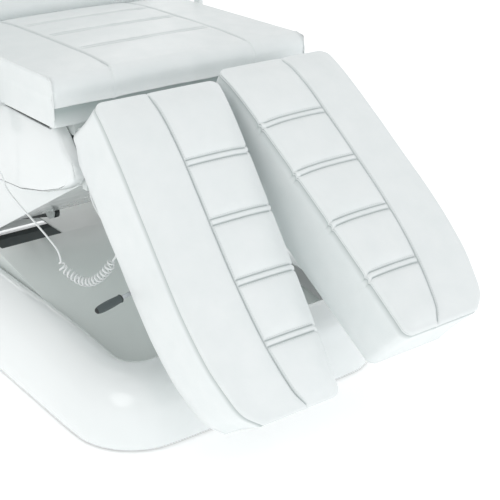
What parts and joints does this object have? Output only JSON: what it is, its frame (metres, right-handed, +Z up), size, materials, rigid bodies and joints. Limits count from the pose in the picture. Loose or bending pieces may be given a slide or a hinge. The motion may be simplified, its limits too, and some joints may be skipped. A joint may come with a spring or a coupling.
{
  "type": "podiatry chair",
  "caption": "Powered podiatry chair with lift base, tilting seat, reclining back with head cushion, folding armrests and split leg rests that pitch and spread.",
  "frame": {"origin": "on the floor under the middle of the whole object at rest", "axes": "+X from the left leg rest to the right one as seen from the front, +Y from the leg rests towards the backrest, +Z up"},
  "size_m": [0.744, 1.6856, 1.2718],
  "materials": {
    "frame_paint": "satin",
    "arm_paint": "satin",
    "upholstery": "soft sheen",
    "white_shell": "gloss",
    "deck_shell": "gloss",
    "board": "matte",
    "motor_case": "matte",
    "bright_steel": "polished",
    "armrest_metal": "satin",
    "foot_rubber": "matte",
    "grip_rubber": "matte",
    "inlet_plastic": "matte",
    "handset_plastic": "satin",
    "key_plastic": "satin",
    "cord_jacket": "satin"
  },
  "bodies": {
    "base": {"base_frame": "frame_paint", "levelling_feet": "foot_rubber", "base_shell": "white_shell", "mechanism_cover": "deck_shell", "control_box": "motor_case", "mains_inlet": "inlet_plastic", "lift_pivot_pins": "bright_steel"},
    "lower_arms": {"lower_lift_arms": "arm_paint"},
    "upper_arms": {"upper_lift_arms": "arm_paint"},
    "lift_motor_body": {"lift_motor": "motor_case"},
    "lift_rod_body": {"lift_rod": "bright_steel"},
    "carriage": {"carriage_frame": "frame_paint", "carriage_shell": "white_shell"},
    "tilt_motor_body": {"tilt_motor": "motor_case"},
    "tilt_rod_body": {"tilt_rod": "bright_steel"},
    "seat": {"seat_frame": "frame_paint", "seat_board": "board", "seat_cushion": "upholstery", "seat_side_cover_left": "white_shell", "seat_side_cover_right": "white_shell", "handset_socket": "handset_plastic", "back_motor": "motor_case", "armrest_brackets": "armrest_metal", "handset_shell": "handset_plastic", "handset_cord_upper": "cord_jacket", "handset_cord_curls": "cord_jacket", "handset_cord_lower": "cord_jacket"},
    "back_rod_body": {"back_rod": "bright_steel"},
    "back": {"back_frame": "frame_paint", "back_board": "board", "back_cushion": "upholstery", "head_pillow": "upholstery"},
    "armrest_left": {"armrest_arm_left": "armrest_metal", "armrest_pad_left": "upholstery"},
    "yoke_left": {"leg_yoke_left": "frame_paint"},
    "leg_left": {"leg_frame_left": "frame_paint", "leg_cushion_left": "upholstery"},
    "lock_left": {"lock_rod_left": "bright_steel"},
    "lever_left": {"release_lever_left": "bright_steel", "lever_grip_left": "grip_rubber"},
    "armrest_right": {"armrest_arm_right": "armrest_metal", "armrest_pad_right": "upholstery"},
    "yoke_right": {"leg_yoke_right": "frame_paint"},
    "leg_right": {"leg_frame_right": "frame_paint", "leg_cushion_right": "upholstery"},
    "lock_right": {"lock_rod_right": "bright_steel"},
    "lever_right": {"release_lever_right": "bright_steel", "lever_grip_right": "grip_rubber"},
    "seat_up_key_body": {"seat_up_key": "key_plastic"},
    "seat_down_key_body": {"seat_down_key": "key_plastic"},
    "back_up_key_body": {"back_up_key": "key_plastic"},
    "back_down_key_body": {"back_down_key": "key_plastic"},
    "tilt_up_key_body": {"tilt_up_key": "key_plastic"},
    "tilt_down_key_body": {"tilt_down_key": "key_plastic"}
  },
  "joints": [
    {"name": "lift", "type": "hinge", "parent": "base", "child": "lower_arms", "pos_m": [0, 0.53026, 0.12], "axis": [1, 0, 0], "range_deg": [-34.9, 4.3]},
    {"name": "upper_arm_turn", "type": "hinge", "parent": "base", "child": "upper_arms", "pos_m": [0, 0.55026, 0.185], "axis": [1, 0, 0], "range_deg": [-34.9, 4.3]},
    {"name": "carriage_level", "type": "hinge", "parent": "lower_arms", "child": "carriage", "pos_m": [0, 0.13559, 0.26365], "axis": [1, 0, 0], "range_deg": [-4.3, 34.9]},
    {"name": "lift_motor_swing", "type": "hinge", "parent": "base", "child": "lift_motor_body", "pos_m": [0, 0.06026, 0.092], "axis": [1, 0, 0], "range_deg": [-1.29, 0.33]},
    {"name": "lift_rod_travel", "type": "slide", "parent": "lift_motor_body", "child": "lift_rod_body", "axis": [0, 0.9825, 0.1862], "range_m": [-0.00479, 0.03535]},
    {"name": "seat_tilt", "type": "hinge", "parent": "carriage", "child": "seat", "pos_m": [0, 0.20026, 0.545], "axis": [1, 0, 0], "range_deg": [-12, 0]},
    {"name": "tilt_motor_swing", "type": "hinge", "parent": "carriage", "child": "tilt_motor_body", "pos_m": [0, 0.16026, 0.408], "axis": [1, 0, 0], "range_deg": [-6.32, 0.2]},
    {"name": "tilt_rod_travel", "type": "slide", "parent": "tilt_motor_body", "child": "tilt_rod_body", "axis": [0, -0.5839, 0.8119], "range_m": [-0.0005, 0.02321]},
    {"name": "back_recline", "type": "hinge", "parent": "seat", "child": "back", "pos_m": [0, 0.29726, 0.648], "axis": [1, 0, 0], "range_deg": [-50, 22]},
    {"name": "back_rod_travel", "type": "slide", "parent": "seat", "child": "back_rod_body", "axis": [0, 1, 0], "range_m": [-0.09649, 0.04274]},
    {"name": "leg_spread_left", "type": "hinge", "parent": "seat", "child": "yoke_left", "pos_m": [-0.205, -0.25974, 0.52], "axis": [0, 0, 1], "range_deg": [-8, 0]},
    {"name": "leg_pitch_left", "type": "hinge", "parent": "yoke_left", "child": "leg_left", "pos_m": [0, -0.30374, 0.55], "axis": [1, 0, 0], "range_deg": [-49, 6]},
    {"name": "release_lever_turn_left", "type": "hinge", "parent": "leg_left", "child": "lever_left", "pos_m": [-0.206, -0.44084, 0.33131], "axis": [0, -0.7547, 0.6561], "range_deg": [-12, 0], "stiffness_Nm_per_rad": 1},
    {"name": "lock_rod_travel_left", "type": "slide", "parent": "leg_left", "child": "lock_left", "axis": [0, 0.6561, 0.7547], "range_m": [-0.00749, 0.0002]},
    {"name": "armrest_fold_left", "type": "hinge", "parent": "seat", "child": "armrest_left", "pos_m": [0, 0.19026, 0.8317], "axis": [1, 0, 0], "range_deg": [-95, 0]},
    {"name": "leg_spread_right", "type": "hinge", "parent": "seat", "child": "yoke_right", "pos_m": [0.205, -0.25974, 0.52], "axis": [0, 0, 1], "range_deg": [0, 8]},
    {"name": "leg_pitch_right", "type": "hinge", "parent": "yoke_right", "child": "leg_right", "pos_m": [0, -0.30374, 0.55], "axis": [1, 0, 0], "range_deg": [-35.4, 19.6]},
    {"name": "release_lever_turn_right", "type": "hinge", "parent": "leg_right", "child": "lever_right", "pos_m": [0.206, -0.48842, 0.36968], "axis": [0, -0.5793, 0.8151], "range_deg": [0, 12], "stiffness_Nm_per_rad": 1},
    {"name": "lock_rod_travel_right", "type": "slide", "parent": "leg_right", "child": "lock_right", "axis": [0, 0.8151, 0.5793], "range_m": [-0.00749, 0.0002]},
    {"name": "armrest_fold_right", "type": "hinge", "parent": "seat", "child": "armrest_right", "pos_m": [0, 0.19026, 0.8317], "axis": [1, 0, 0], "range_deg": [-95, 0]},
    {"name": "seat_up_key_press", "type": "slide", "parent": "seat", "child": "seat_up_key_body", "axis": [1, 0, 0], "range_m": [0, 0.001], "stiffness_N_per_m": 300},
    {"name": "seat_down_key_press", "type": "slide", "parent": "seat", "child": "seat_down_key_body", "axis": [1, 0, 0], "range_m": [0, 0.001], "stiffness_N_per_m": 300},
    {"name": "back_up_key_press", "type": "slide", "parent": "seat", "child": "back_up_key_body", "axis": [1, 0, 0], "range_m": [0, 0.001], "stiffness_N_per_m": 300},
    {"name": "back_down_key_press", "type": "slide", "parent": "seat", "child": "back_down_key_body", "axis": [1, 0, 0], "range_m": [0, 0.001], "stiffness_N_per_m": 300},
    {"name": "tilt_up_key_press", "type": "slide", "parent": "seat", "child": "tilt_up_key_body", "axis": [1, 0, 0], "range_m": [0, 0.001], "stiffness_N_per_m": 300},
    {"name": "tilt_down_key_press", "type": "slide", "parent": "seat", "child": "tilt_down_key_body", "axis": [1, 0, 0], "range_m": [0, 0.001], "stiffness_N_per_m": 300}
  ],
  "couplings": [
    {"joint": "carriage_level", "follows": "lift", "ratio": -1},
    {"joint": "upper_arm_turn", "follows": "lift", "ratio": 1},
    {"joint": "lift_motor_swing", "follows": "lift", "ratio": 0.0312},
    {"joint": "lift_rod_travel", "follows": "lift", "m_per_rad": -0.05722},
    {"joint": "tilt_motor_swing", "follows": "seat_tilt", "ratio": 0.5103},
    {"joint": "tilt_rod_travel", "follows": "seat_tilt", "m_per_rad": -0.10841},
    {"joint": "back_rod_travel", "follows": "back_recline", "m_per_rad": 0.11},
    {"joint": "lock_rod_travel_left", "follows": "release_lever_turn_left", "m_per_rad": 0.0348},
    {"joint": "lock_rod_travel_right", "follows": "release_lever_turn_right", "m_per_rad": -0.0348}
  ]
}
